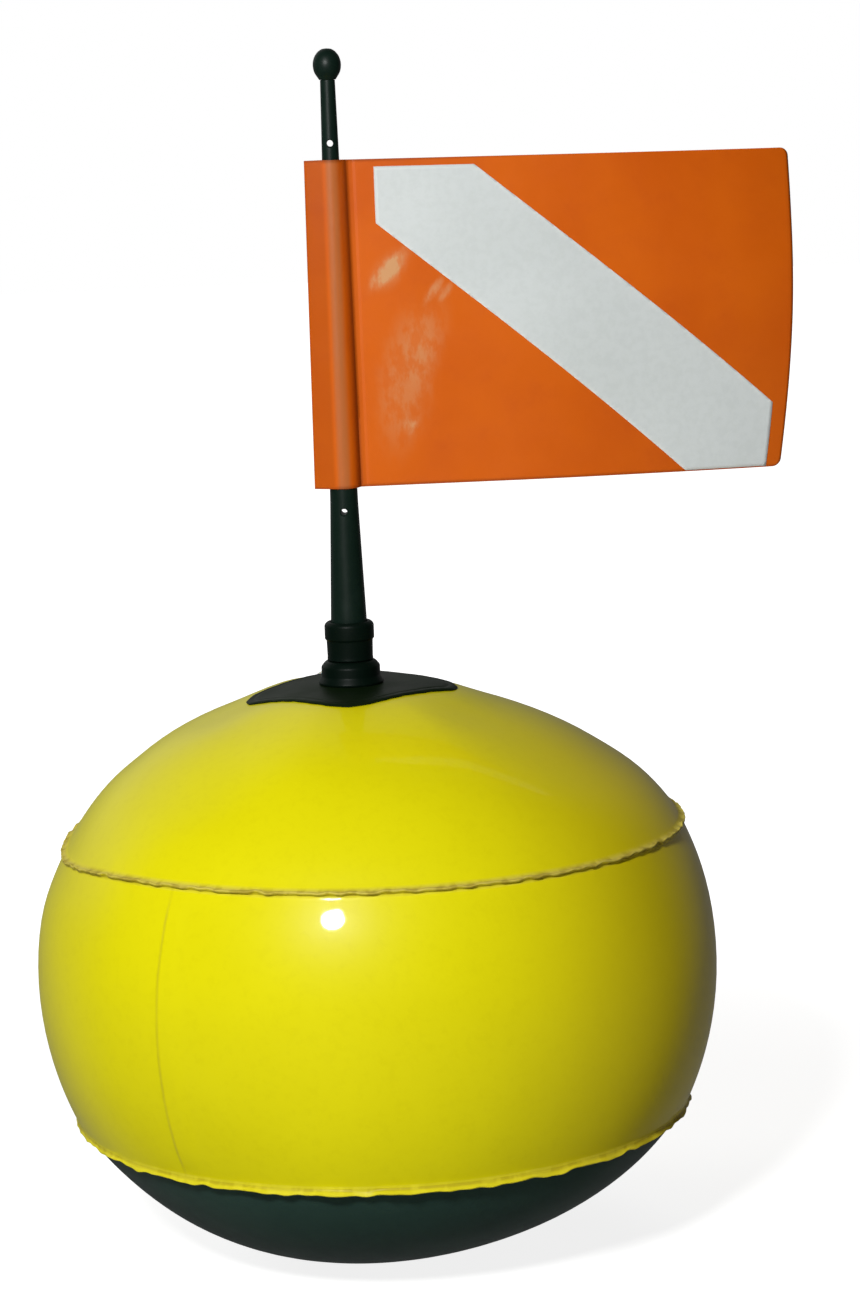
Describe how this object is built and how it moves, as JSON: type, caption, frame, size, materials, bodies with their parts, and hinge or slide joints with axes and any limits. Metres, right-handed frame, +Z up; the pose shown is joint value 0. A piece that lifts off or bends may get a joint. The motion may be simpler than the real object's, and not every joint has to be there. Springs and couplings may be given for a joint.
{
  "type": "dive flag float",
  "caption": "Inflatable dive marker float: a welded ball with a weighted black bottom, a mast that pulls out of a socket on top and a diver-down flag that turns on the mast.",
  "frame": {"origin": "middle of the flat on the bottom panel that the float stands on", "axes": "+Z up along the mast, the flag towards +X with its front towards -Y, the valve and the tow ring behind towards +Y"},
  "size_m": [0.3961, 0.34, 0.5976],
  "materials": {
    "yellow_pvc": "glossy welded sheet",
    "black_pvc": "satin welded sheet",
    "black_plastic": "moulded, slightly worn",
    "orange_pvc": "glossy thin sheet",
    "white_film": "satin film",
    "clear_pvc": "milky soft moulding",
    "steel": "stainless wire",
    "iron": "bare and dull"
  },
  "bodies": {
    "ball": {"top_panel": "yellow_pvc", "side_band": "yellow_pvc", "bottom_panel": "black_pvc", "top_patch": "black_pvc", "socket_base": "black_plastic", "socket_sleeve": "black_pvc", "valve_base": "clear_pvc", "valve_collar": "clear_pvc", "tow_patch": "black_pvc", "tow_tab": "black_pvc", "ballast_pocket": "black_pvc", "ballast_weight": "iron"},
    "mast": {"mast": "black_plastic", "mast_knob": "black_plastic"},
    "flag": {"flag_sheet": "orange_pvc", "flag_stripe_front": "white_film", "flag_stripe_back": "white_film"},
    "plug": {"valve_plug": "clear_pvc"},
    "flap": {"valve_flap": "clear_pvc"},
    "ring": {"tow_ring": "steel"}
  },
  "joints": [
    {"name": "mast_slide", "type": "slide", "parent": "ball", "child": "mast", "axis": [0, 0, 1], "range_m": [0, 0.049]},
    {"name": "flag_swivel", "type": "hinge", "parent": "mast", "child": "flag", "pos_m": [0, 0, 0.4638], "axis": [0, 0, 1], "continuous": true},
    {"name": "plug_hinge", "type": "hinge", "parent": "ball", "child": "plug", "pos_m": [0, 0.12126, 0.26568], "axis": [-1, 0, 0], "range_deg": [0, 135]},
    {"name": "flap_hinge", "type": "hinge", "parent": "ball", "child": "flap", "pos_m": [0, 0.10366, 0.24726], "axis": [1, 0, 0], "range_deg": [0, 45], "stiffness_Nm_per_rad": 0.0001, "springref_deg": -20.05},
    {"name": "ring_hinge", "type": "hinge", "parent": "ball", "child": "ring", "pos_m": [0, 0.13003, 0.03803], "axis": [1, 0, 0], "range_deg": [-60, 125]}
  ]
}
